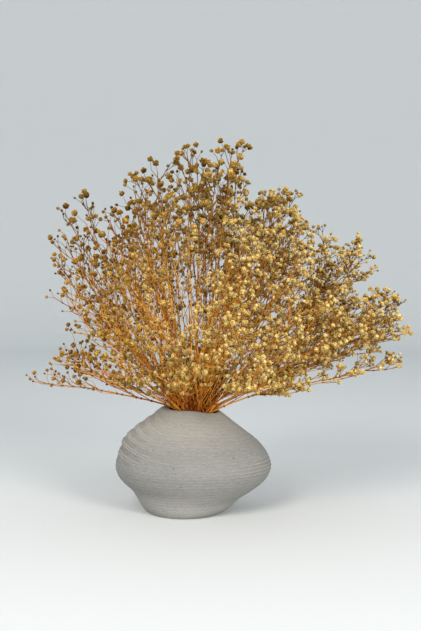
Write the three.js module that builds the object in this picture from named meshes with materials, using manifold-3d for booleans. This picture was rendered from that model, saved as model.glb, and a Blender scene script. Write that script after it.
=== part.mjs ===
// A wavy stoneware vase filled with dried, double-flowered gypsophila.
// Millimetres, +Z up. The origin is the middle of the vase's foot, on the surface it stands on,
// and the wide front of the vase faces -Y. Each stem, with its side shoots, twigs and flower
// heads, is one solid, and so is the vase.
import { BufferAttribute, BufferGeometry, Color, Group, LatheGeometry, Mesh } from 'three';
import { MeshStandardMaterial, Vector2, Vector3 } from 'three';
import { mergeVertices } from 'three/addons/utils/BufferGeometryUtils.js';
import Module from 'manifold-3d';

const wasm = await Module();
wasm.setup();

const radians = (degrees) => degrees * Math.PI / 180;
const UP = new Vector3(0, 0, 1);

// ---- sizes of the vase ----
const WALL = 5;
const FLOOR_THICKNESS = 9;
const FLOOR_CORNER = 12;         // the inside narrows by this to its floor
const VASE_SIDES = 24;
// The thrown and squeezed outline, from foot to rim: height, left edge, right edge, half depth.
const VASE_OUTLINE = [
  [0, -49, 49, 53],
  [6, -55, 60, 57],
  [17, -62, 72, 60],
  [27, -68, 88, 65],
  [37, -79, 101, 71],
  [46, -86, 108, 75],
  [57, -89, 111, 77],
  [69, -87, 108, 74],
  [79, -83, 103, 69],
  [91, -78, 94, 62],
  [103, -65, 80, 52],
  [114, -49, 66, 42],
  [122, -38, 56, 34],
  [128, -31, 48, 28],
];
const INSIDE_LEVELS = [2, 4, 6, 8, 10];  // the levels of the outline the inside follows
const RIM_HEIGHT = 128;
const OPENING = [RIM_HEIGHT, -19, 41, 21];  // the lip rolls in to this
const RIM_WAVES = 3;
const RIM_WAVE = 1;              // how far each soft wave lifts the rim
const RIM_SLOPE = 0.08;          // the rim falls this much for each millimetre to the right
const RIM_SHARE = 0.6;           // the slope and waves start at this share of the height

// ---- sizes of the stems ----
const MOUTH = { x: 11, z: 129, halfWidth: 25, halfDepth: 22 };
const SPIRAL = radians(110);     // the bunch is spiralled: its feet are turned by this
const FOOT_SPREAD = 0.8;         // and stand this much closer together than its necks
const FOOT_DEPTH = 1.2;
const FOOT_MIDDLE = 4.4;
const FOOT_GAP = 0.3;
const STEM_RADIUS = 1.15;
const FORK_RADIUS = 0.92;
const SHOOT_RADIUS = 0.7;
const TIP_RADIUS = 0.6;
const ROOT_SHARE = 0.4;          // a root starts with this share of its parent's radius
const STEM_SIDES = 3;
const HEAD = { radius: 4, height: 5.6, widest: 0.6 };
const HEAD_REACH = 8;            // a head stands this far past the end of its twig
const FORK_ROOT = 1;             // a fork starts this far back inside its main leader
const CLEARANCE = 0.45;          // between one stem and the next
const WELD = 1e-4;               // points closer than this are one
const SIMPLIFYING = 0.05;        // a fused stem's surface moves by less than this

// ---- how a stem grows ----
const FORK_AT = 0.3;             // where on its main leader a stem forks
const LEAVING = [0.2, 0.8];      // shares of the old and the new direction where a leader starts
const LEAVING_REACH = 0.30;
const ARRIVING_REACH = 0.36;
const TIP_LIFT = 0.55;           // how strongly a steep leader's tip turns upwards
const TIP_DROOP = 0.15;          // and how much a flat one's tip hangs
const SWAY = [3, 7];
const GOLDEN_TURN = 2.39996;     // from one side shoot to the next, in radians
const SHOOTS = 6;                // side shoots on a leader
const SHOOT_STEP = 2;            // one in this many is kept
const TWIGGED_SHOOTS = [3, 2];   // how many of those carry a twig, on the main leader and the fork
const SHOOT_SPAN = [0.45, 0.97]; // the stretch of a leader that carries shoots
const CROWDING = 0.65;           // shoots crowd towards the tip
const TAPER = 0.38;              // and get this much shorter
const SHOOT_PLACE = [0.2, 0.8];  // where a shoot stands in its own share of that stretch
const SHOOT_TURN = [-0.3, 0.3];  // how far it strays from the golden turn, in radians
const SHOOT_LEAN = [34, 50];     // degrees from the leader
const SHOOT_LEAN_LOSS = 8;       // shoots near the tip lean out this much less
const SHOOT_LENGTH = [0.85, 1.15];
const SHOOT_LIFT = [0, 0.16];    // how a shoot is pulled upwards
const SHOOT_FORWARD = 0.08;      // and along its leader
const TWIGS = [2, 4];            // fewest and most that a shoot has
const TWIG_SPACING = 19;
const TWIG_ROOM = 0.9;           // bare end of a shoot, in spaces between its twigs
const TWIG_PLACE = [-0.05, 0.05];
const TWIG_TURN = [-0.35, 0.35];
const TWIG_LEAN = [32, 46];
const TWIG_LENGTH = [0.30, 0.44];  // as a share of its shoot's length
const TWIG_TAPER = 0.35;
const TWIG_LIFT = [0, 0.14];
const SHORTEST_TWIG = 10;
const LEADER_STEPS = [0, 0.1, 0.24];  // bends of a leader below its first shoot
const FORK_STEPS = [0, 0.16];
const SWAY_DRAW = 7;             // which of a stem's draws sets its sway
const TWIG_DRAW = 50;            // and which of a shoot's draws sets its twigs

// Rows of stems from front to back, each at its own depth in the mouth. A stem has two leaders,
// given by the points they reach, then the length of its longest side shoots and the seed of its
// draws.
const ROWS = [
  { y: -17, stems: [
    { tips: [[-78, -106, 206], [-26, -118, 236]], spread: 46, seed: 11 },
    { tips: [[-5, -105, 178], [20, -118, 205]], spread: 44, seed: 14 },
    { tips: [[56, -112, 268], [70, -110, 232]], spread: 50, seed: 12 },
    { tips: [[118, -95, 214], [80, -108, 168]], spread: 46, seed: 13 },
  ] },
  { y: -12, stems: [
    { tips: [[-95, -80, 250], [-70, -78, 226]], spread: 42, seed: 21 },
    { tips: [[-28, -78, 362], [-64, -80, 305]], spread: 46, seed: 22 },
    { tips: [[76, -80, 340], [66, -74, 292]], spread: 50, seed: 26 },
    { tips: [[142, -75, 262], [184, -66, 232]], spread: 52, seed: 24 },
  ] },
  { y: -6, stems: [
    { tips: [[-146, -40, 194], [-72, -56, 172]], spread: 24, seed: 31 },
    { tips: [[-142, -45, 276], [-118, -40, 302]], spread: 40, seed: 32 },
    { tips: [[-90, -45, 368], [-46, -40, 404]], spread: 46, seed: 33 },
    { tips: [[10, -42, 452], [40, -40, 426]], spread: 42, seed: 34 },
    { tips: [[58, -45, 444], [112, -40, 384]], spread: 46, seed: 35 },
    { tips: [[108, -45, 330], [144, -40, 322]], spread: 52, seed: 36 },
    { tips: [[250, -45, 226], [236, -50, 250]], spread: 50, seed: 37 },
    { tips: [[250, -40, 192], [122, -50, 154]], spread: 40, seed: 38 },
  ] },
  { y: 0, stems: [
    { tips: [[-184, -5, 163], [-138, 0, 200]], spread: 24, seed: 41 },
    { tips: [[-156, -5, 314], [-150, 0, 338]], spread: 40, seed: 42 },
    { tips: [[-60, -5, 385], [-95, 0, 330]], spread: 44, seed: 43 },
    { tips: [[16, -5, 448], [8, 5, 405]], spread: 44, seed: 44 },
    { tips: [[158, -5, 334], [122, 5, 382]], spread: 52, seed: 45 },
    { tips: [[256, -5, 254], [214, 5, 308]], spread: 50, seed: 46 },
  ] },
  { y: 6, stems: [
    { tips: [[-140, 40, 336], [-108, 40, 244]], spread: 40, seed: 51 },
    { tips: [[-157, 35, 382], [-130, 35, 400]], spread: 18, seed: 52 },
    { tips: [[-36, 35, 436], [-66, 40, 398]], spread: 42, seed: 53 },
    { tips: [[66, 35, 434], [48, 40, 392]], spread: 44, seed: 54 },
    { tips: [[224, 35, 324], [190, 40, 300]], spread: 52, seed: 55 },
    { tips: [[262, 35, 226], [258, 40, 258]], spread: 48, seed: 56 },
  ] },
  { y: 12, stems: [
    { tips: [[-106, 75, 270], [-92, 80, 318]], spread: 44, seed: 61 },
    { tips: [[-34, 80, 406], [-84, 75, 368]], spread: 46, seed: 62 },
    { tips: [[62, 70, 366], [26, 75, 405]], spread: 44, seed: 63 },
    { tips: [[112, 75, 394], [146, 80, 360]], spread: 46, seed: 64 },
    { tips: [[198, 75, 330], [212, 80, 248]], spread: 52, seed: 65 },
  ] },
  { y: 17, stems: [
    { tips: [[-60, 112, 268], [-36, 116, 318]], spread: 46, seed: 71 },
    { tips: [[104, 112, 312], [60, 115, 282]], spread: 50, seed: 72 },
    { tips: [[190, 105, 270], [240, 90, 232]], spread: 50, seed: 73 },
  ] },
];

// ---- seeded draws ----
const MODULUS = 2147483647;
const MULTIPLIER = 16807;
const CHILD_MULTIPLIER = 48271;
const CHILD_STEP = 9973;

class Draw {
  constructor(seed) {
    this.state = seed % (MODULUS - 1) + 1;
  }

  next() {
    this.state = this.state * MULTIPLIER % MODULUS;
    return this.state / MODULUS;
  }

  between(low, high) {
    return low + (high - low) * this.next();
  }
}

const childSeed = (seed, index) => (seed * CHILD_MULTIPLIER + index * CHILD_STEP + 1) % MODULUS;

// ---- directions and curves ----
const along = (point, direction, distance) => point.clone().addScaledVector(direction, distance);

function sideways(axis) {
  const reference = Math.abs(axis.y) < 0.8 ? new Vector3(0, 1, 0) : new Vector3(1, 0, 0);
  return axis.clone().cross(reference).normalize();
}

// A direction that leans out from an axis, turned round it.
function leaning(axis, turn, lean) {
  const out = sideways(axis).applyAxisAngle(axis, turn);
  return axis.clone().multiplyScalar(Math.cos(lean)).addScaledVector(out, Math.sin(lean));
}

// A leader's curve: a straight line from its foot for t from -1 to 0, then arched over, swaying a
// little, to its tip, which a steep leader lifts and a flat one lets hang.
class LeaderCurve {
  constructor(foot, start, leave, tip, seed) {
    const chord = tip.clone().sub(start);
    const run = chord.length();
    chord.normalize();
    const leaving = leave.clone().multiplyScalar(LEAVING[0]).addScaledVector(chord, LEAVING[1]);
    const arriving = along(chord, UP, TIP_LIFT * chord.z - TIP_DROOP);
    this.foot = foot;
    this.corners = [
      start,
      along(start, leaving.normalize(), run * LEAVING_REACH),
      along(tip, arriving.normalize(), -run * ARRIVING_REACH),
      tip,
    ];
    const draw = new Draw(childSeed(seed, SWAY_DRAW));
    this.sway = sideways(leave).applyAxisAngle(leave, draw.between(0, 2 * Math.PI));
    this.sway.multiplyScalar(draw.between(...SWAY));
  }

  at(t) {
    if (t <= 0) return this.corners[0].clone().lerp(this.foot, -t);
    const s = 1 - t;
    const shares = [s * s * s, 3 * t * s * s, 3 * t * t * s, t * t * t];
    const point = along(new Vector3(), this.sway, Math.sin(2 * Math.PI * t) * t);
    this.corners.forEach((corner, i) => point.addScaledVector(corner, shares[i]));
    return point;
  }

  tangent(t) {
    const step = 0.01;
    return this.at(t + step).sub(this.at(t - step)).normalize();
  }
}

// A side shoot's curve: straight out, then bent by a steady pull.
class ShootCurve {
  constructor(base, direction, length, pull) {
    this.base = base;
    this.direction = direction;
    this.length = length;
    this.pull = pull;
  }

  at(t) {
    return along(along(this.base, this.direction, this.length * t), this.pull, this.length * t * t);
  }

  tangent(t) {
    return along(this.direction, this.pull, 2 * t).normalize();
  }
}

// ---- solids ----
function toSolid(geometry) {
  geometry.deleteAttribute('normal');
  geometry.deleteAttribute('uv');
  const merged = mergeVertices(geometry, WELD);
  const index = merged.index.array;
  const triangles = [];
  for (let i = 0; i < index.length; i += 3) {
    const [a, b, c] = [index[i], index[i + 1], index[i + 2]];
    if (a !== b && b !== c && c !== a) triangles.push(a, b, c);
  }
  return new wasm.Manifold(new wasm.Mesh({
    numProp: 3,
    vertProperties: new Float32Array(merged.attributes.position.array),
    triVerts: new Uint32Array(triangles),
  }));
}

function toMesh(name, solid, material) {
  const { vertProperties, triVerts } = solid.getMesh();
  const geometry = new BufferGeometry();
  geometry.setAttribute('position', new BufferAttribute(new Float32Array(vertProperties), 3));
  geometry.setIndex(new BufferAttribute(new Uint32Array(triVerts), 1));
  geometry.computeVertexNormals();
  const mesh = new Mesh(geometry, material);
  mesh.name = name;
  return mesh;
}

// A turned form bent along a curve. Each step of its profile is a radius, a place on the curve,
// and a distance past that place along the curve's direction.
function bentTurning(profile, curve) {
  const points = profile.map(([radius], i) => new Vector2(radius, i));
  const geometry = new LatheGeometry(points, STEM_SIDES);
  const position = geometry.attributes.position;
  const side = sideways(curve.tangent(0.5));
  for (let i = 0; i < position.count; i++) {
    const [, t, past = 0] = profile[Math.round(position.getY(i))];
    const axis = curve.tangent(t);
    const other = axis.clone().cross(side).normalize();
    const across = axis.clone().cross(other);
    const place = along(curve.at(t), axis, past)
      .addScaledVector(across, position.getX(i))
      .addScaledVector(other, position.getZ(i));
    position.setXYZ(i, place.x, place.y, place.z);
  }
  return toSolid(geometry);
}

// One body from the pieces of a stem; a scrap that touches nothing is dropped.
function fuse(solids) {
  const bodies = wasm.Manifold.union(solids).simplify(SIMPLIFYING).decompose();
  return bodies.sort((a, b) => b.volume() - a.volume())[0];
}

// ---- room between stems ----
// Rods stand for everything placed so far. A new piece goes in only where it clears the rods of
// every other stem.
const placedRods = [];

function rodsAlong(curve, steps, radius, owner) {
  return steps.slice(1).map((t, i) => ({ a: curve.at(steps[i]), b: curve.at(t), radius, owner }));
}

function headRod(curve, t, owner) {
  const end = curve.at(t);
  const axis = curve.tangent(t);
  const inset = HEAD.height / 3;
  const [a, b] = [along(end, axis, inset), along(end, axis, HEAD.height - inset)];
  return { a, b, radius: HEAD.radius, owner };
}

// The shortest distance between the middle lines of two rods.
function rodDistance(p, q) {
  const d1 = p.b.clone().sub(p.a);
  const d2 = q.b.clone().sub(q.a);
  const r = p.a.clone().sub(q.a);
  const [a, e, f, c, b] = [d1.dot(d1), d2.dot(d2), d2.dot(r), d1.dot(r), d1.dot(d2)];
  const clamp = (value) => Math.min(1, Math.max(0, value));
  const denominator = a * e - b * b;
  let s = denominator > 1e-9 ? clamp((b * f - c * e) / denominator) : 0;
  const t = clamp((b * s + f) / e);
  s = clamp((b * t - c) / a);
  return along(p.a, d1, s).distanceTo(along(q.a, d2, t));
}

function isClear(rods) {
  return rods.every((rod) => placedRods.every((other) => {
    if (other.owner === rod.owner) return true;
    const need = rod.radius + other.radius + CLEARANCE;
    const reach = rod.a.distanceTo(rod.b) + other.a.distanceTo(other.b) + need;
    return rod.a.distanceTo(other.a) > reach || rodDistance(rod, other) > need;
  }));
}

// ---- growth ----
const headProfile = (t) => [[HEAD.radius, t, HEAD.height * HEAD.widest], [0, t, HEAD.height]];

// A stem's place in the mouth of the vase, by its row and its place in that row.
function plant(row, spec, place) {
  const bearing = 2 * place / (row.stems.length - 1) - 1;
  const out = MOUTH.halfWidth * Math.sqrt(1 - (row.y / MOUTH.halfDepth) ** 2) * bearing;
  const mouth = new Vector3(MOUTH.x + out, row.y, MOUTH.z - out * RIM_SLOPE);
  const foot = new Vector3(out, row.y * FOOT_DEPTH, 0)
    .applyAxisAngle(UP, SPIRAL)
    .multiplyScalar(FOOT_SPREAD)
    .add(new Vector3(FOOT_MIDDLE, 0, FLOOR_THICKNESS + FOOT_GAP));
  return { ...spec, foot, mouth, leaders: [], solids: [] };
}

function growLeaders(stem) {
  const [mainTip, forkTip] = stem.tips.map((tip) => new Vector3(...tip));
  const rise = stem.mouth.clone().sub(stem.foot).normalize();
  const main = new LeaderCurve(stem.foot, stem.mouth, rise, mainTip, stem.seed);
  addLeader(stem, 0, main, STEM_RADIUS, [-1, ...LEADER_STEPS]);
  const start = main.at(FORK_AT);
  const leave = main.tangent(FORK_AT);
  const root = along(start, leave, -FORK_ROOT);
  const fork = new LeaderCurve(root, start, leave, forkTip, stem.seed + 1);
  addLeader(stem, 1, fork, FORK_RADIUS, FORK_STEPS);
}

function addLeader(stem, number, curve, radius, lowSteps) {
  const shoots = shootsOf(stem, number, curve).filter((shoot, k) => k % SHOOT_STEP === 0);
  shoots.slice(0, TWIGGED_SHOOTS[number]).forEach((shoot) => { shoot.twig = firstTwig(shoot); });
  stem.leaders.push({ curve, radius, shoots });
  const steps = [...lowSteps, ...shoots.map((shoot) => shoot.t), 1];
  const rods = [...rodsAlong(curve, steps, radius, stem), headRod(curve, 1, stem)];
  if (!isClear(rods)) throw new Error(`a leader of the stem with seed ${stem.seed} is not clear`);
  placedRods.push(...rods);
  const profile = steps.map((t) => [radius + (TIP_RADIUS - radius) * Math.max(0, t), t]);
  stem.solids.push(bentTurning([[0, steps[0]], ...profile, ...headProfile(1)], curve));
}

function shootsOf(stem, number, curve) {
  const seed = childSeed(stem.seed, number + 1);
  const turn = new Draw(seed).between(0, 2 * Math.PI);
  return Array.from({ length: SHOOTS }, (_, k) => {
    const draw = new Draw(childSeed(seed, k + 1));
    const share = (k + draw.between(...SHOOT_PLACE)) / SHOOTS;
    const t = SHOOT_SPAN[0] + (SHOOT_SPAN[1] - SHOOT_SPAN[0]) * share ** CROWDING;
    const bend = (lift) => along(UP.clone().multiplyScalar(lift), curve.tangent(t), SHOOT_FORWARD);
    return {
      seed: childSeed(seed, k + 1),
      t,
      turn: turn + (k + 1) * GOLDEN_TURN + draw.between(...SHOOT_TURN),
      lean: radians(draw.between(...SHOOT_LEAN) - SHOOT_LEAN_LOSS * share),
      length: stem.spread * (1 - TAPER * share) * draw.between(...SHOOT_LENGTH),
      pull: bend(draw.between(...SHOOT_LIFT)),
    };
  });
}

function firstTwig(shoot) {
  const draw = new Draw(childSeed(shoot.seed, TWIG_DRAW));
  const [fewest, most] = TWIGS;
  const count = Math.max(fewest, Math.min(most, Math.round(shoot.length / TWIG_SPACING)));
  const turn = draw.between(0, Math.PI);
  const t = 1 / (count + TWIG_ROOM) + draw.between(...TWIG_PLACE);
  return {
    t,
    turn: turn + Math.PI / 2 + draw.between(...TWIG_TURN),
    lean: radians(draw.between(...TWIG_LEAN)),
    length: Math.max(SHORTEST_TWIG, shoot.length * draw.between(...TWIG_LENGTH) * (1 - TWIG_TAPER * t)),
    pull: UP.clone().multiplyScalar(draw.between(...TWIG_LIFT)),
  };
}

// A side shoot or twig with the head at its end. It never hangs below what it grows from. It is
// turned and leaned further out, a little more at each try, until it is clear of the other stems,
// and left out where it never is.
const TRIES = [0, 1, -1, 2, -2, 3, -3, 4, -4, 5, -5];
const TRY_LEAN = radians(2);
const TRY_TURN = 0.22;

function growBranch(stem, base, axis, branch) {
  for (const attempt of TRIES) {
    const lean = branch.lean + Math.abs(attempt) * TRY_LEAN;
    const direction = leaning(axis, branch.turn + attempt * TRY_TURN, lean);
    direction.z = Math.abs(direction.z);
    const curve = new ShootCurve(base, direction, branch.length, branch.pull);
    const end = 1 + HEAD_REACH / branch.length;
    const steps = branch.twig ? [branch.twig.t, end] : [end];
    const rods = [...rodsAlong(curve, [0, ...steps], branch.radius, stem), headRod(curve, end, stem)];
    if (isClear(rods)) {
      placedRods.push(...rods);
      const profile = [[0, 0], [branch.root, 0], ...steps.map((t) => [TIP_RADIUS, t])];
      stem.solids.push(bentTurning([...profile, ...headProfile(end)], curve));
      return curve;
    }
  }
  return null;
}

function growShoots(stem) {
  for (const leader of stem.leaders) {
    for (const shoot of leader.shoots) {
      const root = ROOT_SHARE * (leader.radius + (TIP_RADIUS - leader.radius) * shoot.t);
      const branch = { ...shoot, radius: SHOOT_RADIUS, root };
      const { curve } = leader;
      shoot.curve = growBranch(stem, curve.at(shoot.t), curve.tangent(shoot.t), branch);
    }
  }
}

function growTwigs(stem) {
  const shoots = stem.leaders.flatMap((leader) => leader.shoots);
  for (const { curve, twig } of shoots.filter((shoot) => shoot.curve && shoot.twig)) {
    const branch = { ...twig, radius: TIP_RADIUS, root: ROOT_SHARE * SHOOT_RADIUS };
    growBranch(stem, curve.at(twig.t), curve.tangent(twig.t), branch);
  }
}

// ---- vase ----
// An oval ring of the vase: its height, middle, half width and half depth.
function vaseRing([height, left, right, halfDepth], inset) {
  return {
    height,
    middle: (left + right) / 2,
    halfWidth: (right - left) / 2 - inset,
    halfDepth: halfDepth - inset,
  };
}

// The vase is turned on a unit lathe, one ring to a level, up the outside and down the inside.
// Each ring is then drawn out to its own oval, and the rings near the rim slope and wave.
function makeVase() {
  const outside = VASE_OUTLINE.map((level) => vaseRing(level, 0));
  const inside = INSIDE_LEVELS.map((i) => vaseRing(VASE_OUTLINE[i], WALL));
  inside.push(vaseRing(OPENING, 0));
  inside.reverse();
  const floor = vaseRing(VASE_OUTLINE[INSIDE_LEVELS[0]], WALL + FLOOR_CORNER);
  floor.height = FLOOR_THICKNESS;
  const rings = [outside[0], ...outside, ...inside, floor, floor];
  const last = rings.length - 1;
  const profile = rings.map((ring, i) => new Vector2(i === 0 || i === last ? 0 : 1, i));
  const geometry = new LatheGeometry(profile, VASE_SIDES);
  const position = geometry.attributes.position;
  for (let i = 0; i < position.count; i++) {
    const ring = rings[Math.round(position.getY(i))];
    const x = ring.middle + ring.halfWidth * position.getX(i);
    const y = -ring.halfDepth * position.getZ(i);
    const nearRim = Math.max(0, ring.height / RIM_HEIGHT - RIM_SHARE) / (1 - RIM_SHARE);
    const wave = RIM_WAVE * Math.sin(RIM_WAVES * Math.atan2(y, x - MOUTH.x));
    const z = ring.height + nearRim * (wave - RIM_SLOPE * (x - MOUTH.x));
    position.setXYZ(i, x, y, z);
  }
  return toSolid(geometry);
}

// ---- the part ----
const stoneware = new MeshStandardMaterial({ color: new Color('#a5a39c'), roughness: 0.9 });
const driedPlant = new MeshStandardMaterial({ color: new Color('#a8804a'), roughness: 0.85 });

const stems = ROWS.flatMap((row) => row.stems.map((spec, place) => plant(row, spec, place)));
stems.forEach(growLeaders);
stems.forEach(growShoots);
stems.forEach(growTwigs);

const part = new Group();
part.add(toMesh('vase', makeVase(), stoneware));
stems.forEach((stem, i) => {
  const name = `stem_${String(i + 1).padStart(2, '0')}`;
  part.add(toMesh(name, fuse(stem.solids), driedPlant));
});

export default part;
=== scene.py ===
"""A wavy stoneware vase filled with dried, double-flowered gypsophila.

Sizes in the tables and in the growth rules are in millimetres, and become metres as the meshes are
made. The origin is the middle of the vase's foot, on the surface, and the vase's wide front faces -Y.
"""
import math
from collections import namedtuple

import bmesh
import bpy
from mathutils import Matrix, Vector


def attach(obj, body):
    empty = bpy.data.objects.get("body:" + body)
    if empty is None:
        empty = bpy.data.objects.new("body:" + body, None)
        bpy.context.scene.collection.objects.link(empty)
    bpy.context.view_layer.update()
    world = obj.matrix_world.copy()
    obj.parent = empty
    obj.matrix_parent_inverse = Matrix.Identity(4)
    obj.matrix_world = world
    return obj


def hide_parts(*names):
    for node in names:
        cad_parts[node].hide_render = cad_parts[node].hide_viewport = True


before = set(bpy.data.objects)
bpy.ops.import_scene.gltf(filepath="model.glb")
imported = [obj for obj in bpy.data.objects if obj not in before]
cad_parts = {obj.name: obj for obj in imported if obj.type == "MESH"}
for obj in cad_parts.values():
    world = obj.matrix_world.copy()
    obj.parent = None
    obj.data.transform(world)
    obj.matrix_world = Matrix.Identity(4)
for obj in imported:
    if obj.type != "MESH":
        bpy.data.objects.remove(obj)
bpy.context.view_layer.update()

MM = 0.001
UP = Vector((0, 0, 1))

# ---- sizes of the vase, as in the solid ----
WALL = 5
FLOOR_THICKNESS = 9
FLOOR_CORNER = 12
# The thrown and squeezed outline, from foot to rim: height, left edge, right edge, half depth.
VASE_OUTLINE = [
    (0, -49, 49, 53),
    (6, -55, 60, 57),
    (17, -62, 72, 60),
    (27, -68, 88, 65),
    (37, -79, 101, 71),
    (46, -86, 108, 75),
    (57, -89, 111, 77),
    (69, -87, 108, 74),
    (79, -83, 103, 69),
    (91, -78, 94, 62),
    (103, -65, 80, 52),
    (114, -49, 66, 42),
    (122, -38, 56, 34),
    (128, -31, 48, 28),
]
INSIDE_LEVELS = [2, 4, 6, 8, 10]
RIM_HEIGHT = 128
OPENING = (RIM_HEIGHT, -19, 41, 21)
RIM_WAVES = 3
RIM_WAVE = 1
RIM_SLOPE = 0.08
RIM_SHARE = 0.6

# ---- the finer form of the vase ----
VASE_SIDES = 192
LEVELS_PER_STEP = 14
LIP_STEPS = 8
LIP_CROWN = 1.8  # how far the rolled lip rises between its edges
FOOT_ROUNDING = 1.6
FOOT_LIFT = 0.4 * FOOT_ROUNDING  # how far it lifts the lower edge of the wall
SHELL_PITCH = 8.8  # the broad ridges that the fingers left on the narrow end of the shoulder
SHELL_DEPTH = 2.8
SHELL_FINE = 0.35  # share of the finer ridges between them, at a third of the pitch
SHELL_CLIMB = 16  # they climb this much round that end, and the comb's lines with them
SHELL_CLIMB_HEIGHTS = (40, 90)  # the climb sets in between these heights
SHELL_HEIGHTS = (60, 78, 122, 128)  # the ridges fade in over the first two and out over the last
THROW_PITCH = 4.1  # the shallower, closer ridges of the whole body
THROW_DEPTH = 0.12
THROW_DRIFT = 0.8  # in radians of their wave: they wander up and down round the body
THROW_HEIGHTS = (4, 14, 118, 126)
PINCH_PITCH = 4.4  # close ridges where the fuller side was pinched
PINCH_DEPTH = 1.6
PINCH_HEIGHTS = (46, 54, 66, 76)

# ---- sizes of the stems, as in the solids ----
MOUTH = Vector((11, 0, 129))
MOUTH_HALF_WIDTH = 25
MOUTH_HALF_DEPTH = 22
SPIRAL = math.radians(110)  # the bunch is spiralled: its feet are turned by this
FOOT_SPREAD = 0.8  # and stand this much closer together than its necks
FOOT_DEPTH = 1.2
FOOT_GAP = 0.3
FOOT_MIDDLE = Vector((4.4, 0, FLOOR_THICKNESS + FOOT_GAP))
STEM_RADIUS = 1.15
# The rest are slimmer than in the solids, which have no pedicels.
FORK_RADIUS = 0.9
LEADER_TIP_RADIUS = 0.5
SHOOT_RADIUS = 0.62
TWIG_RADIUS = 0.46
PEDICEL_RADIUS = 0.34

# ---- how a stem grows, as in the solids ----
FORK_AT = 0.3  # where on its main leader a stem forks
LEAVING = (0.2, 0.8)  # shares of the old and the new direction where a leader starts
LEAVING_REACH = 0.30
ARRIVING_REACH = 0.36
TIP_LIFT = 0.55  # how strongly a steep leader's tip turns upwards
TIP_DROOP = 0.15  # and how much a flat one's tip hangs
SWAY = (3, 7)
GOLDEN_TURN = 2.39996  # from one side shoot to the next, in radians
SHOOTS = 6  # side shoots on a leader
SHOOT_SPAN = (0.45, 0.97)  # the stretch of a leader that carries shoots
CROWDING = 0.65  # shoots crowd towards the tip
TAPER = 0.38  # and get this much shorter
SHOOT_PLACE = (0.2, 0.8)  # where a shoot stands in its own share of that stretch
SHOOT_TURN = (-0.3, 0.3)  # how far it strays from the golden turn, in radians
SHOOT_LEAN = (34, 50)  # degrees from the leader
SHOOT_LEAN_LOSS = 8  # shoots near the tip lean out this much less
SHOOT_LENGTH = (0.85, 1.15)
SHOOT_LIFT = (0, 0.16)  # how a shoot is pulled upwards
SHOOT_FORWARD = 0.08  # and along its leader
TWIGS = (2, 4)  # fewest and most that a shoot has
TWIG_SPACING = 19
TWIG_ROOM = 0.9  # bare end of a shoot, in spaces between its twigs
TWIG_PLACE = (-0.05, 0.05)
TWIG_TURN = (-0.35, 0.35)
TWIG_LEAN = (32, 46)
TWIG_LENGTH = (0.30, 0.44)  # as a share of its shoot's length
TWIG_TAPER = 0.35
TWIG_LIFT = (0, 0.14)
SHORTEST_TWIG = 10

# Rows of stems from front to back, each at its own depth in the mouth. A stem has two leaders,
# given by the points they reach, then the length of its longest side shoots and the seed of its
# draws.
ROWS = [
    (-17, [
        ([(-78, -106, 206), (-26, -118, 236)], 46, 11),
        ([(-5, -105, 178), (20, -118, 205)], 44, 14),
        ([(56, -112, 268), (70, -110, 232)], 50, 12),
        ([(118, -95, 214), (80, -108, 168)], 46, 13),
    ]),
    (-12, [
        ([(-95, -80, 250), (-70, -78, 226)], 42, 21),
        ([(-28, -78, 362), (-64, -80, 305)], 46, 22),
        ([(76, -80, 340), (66, -74, 292)], 50, 26),
        ([(142, -75, 262), (184, -66, 232)], 52, 24),
    ]),
    (-6, [
        ([(-146, -40, 194), (-72, -56, 172)], 24, 31),
        ([(-142, -45, 276), (-118, -40, 302)], 40, 32),
        ([(-90, -45, 368), (-46, -40, 404)], 46, 33),
        ([(10, -42, 452), (40, -40, 426)], 42, 34),
        ([(58, -45, 444), (112, -40, 384)], 46, 35),
        ([(108, -45, 330), (144, -40, 322)], 52, 36),
        ([(250, -45, 226), (236, -50, 250)], 50, 37),
        ([(250, -40, 192), (122, -50, 154)], 40, 38),
    ]),
    (0, [
        ([(-184, -5, 163), (-138, 0, 200)], 24, 41),
        ([(-156, -5, 314), (-150, 0, 338)], 40, 42),
        ([(-60, -5, 385), (-95, 0, 330)], 44, 43),
        ([(16, -5, 448), (8, 5, 405)], 44, 44),
        ([(158, -5, 334), (122, 5, 382)], 52, 45),
        ([(256, -5, 254), (214, 5, 308)], 50, 46),
    ]),
    (6, [
        ([(-140, 40, 336), (-108, 40, 244)], 40, 51),
        ([(-157, 35, 382), (-130, 35, 400)], 18, 52),
        ([(-36, 35, 436), (-66, 40, 398)], 42, 53),
        ([(66, 35, 434), (48, 40, 392)], 44, 54),
        ([(224, 35, 324), (190, 40, 300)], 52, 55),
        ([(262, 35, 226), (258, 40, 258)], 48, 56),
    ]),
    (12, [
        ([(-106, 75, 270), (-92, 80, 318)], 44, 61),
        ([(-34, 80, 406), (-84, 75, 368)], 46, 62),
        ([(62, 70, 366), (26, 75, 405)], 44, 63),
        ([(112, 75, 394), (146, 80, 360)], 46, 64),
        ([(198, 75, 330), (212, 80, 248)], 52, 65),
    ]),
    (17, [
        ([(-60, 112, 268), (-36, 116, 318)], 46, 71),
        ([(104, 112, 312), (60, 115, 282)], 50, 72),
        ([(190, 105, 270), (240, 90, 232)], 50, 73),
    ]),
]

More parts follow.
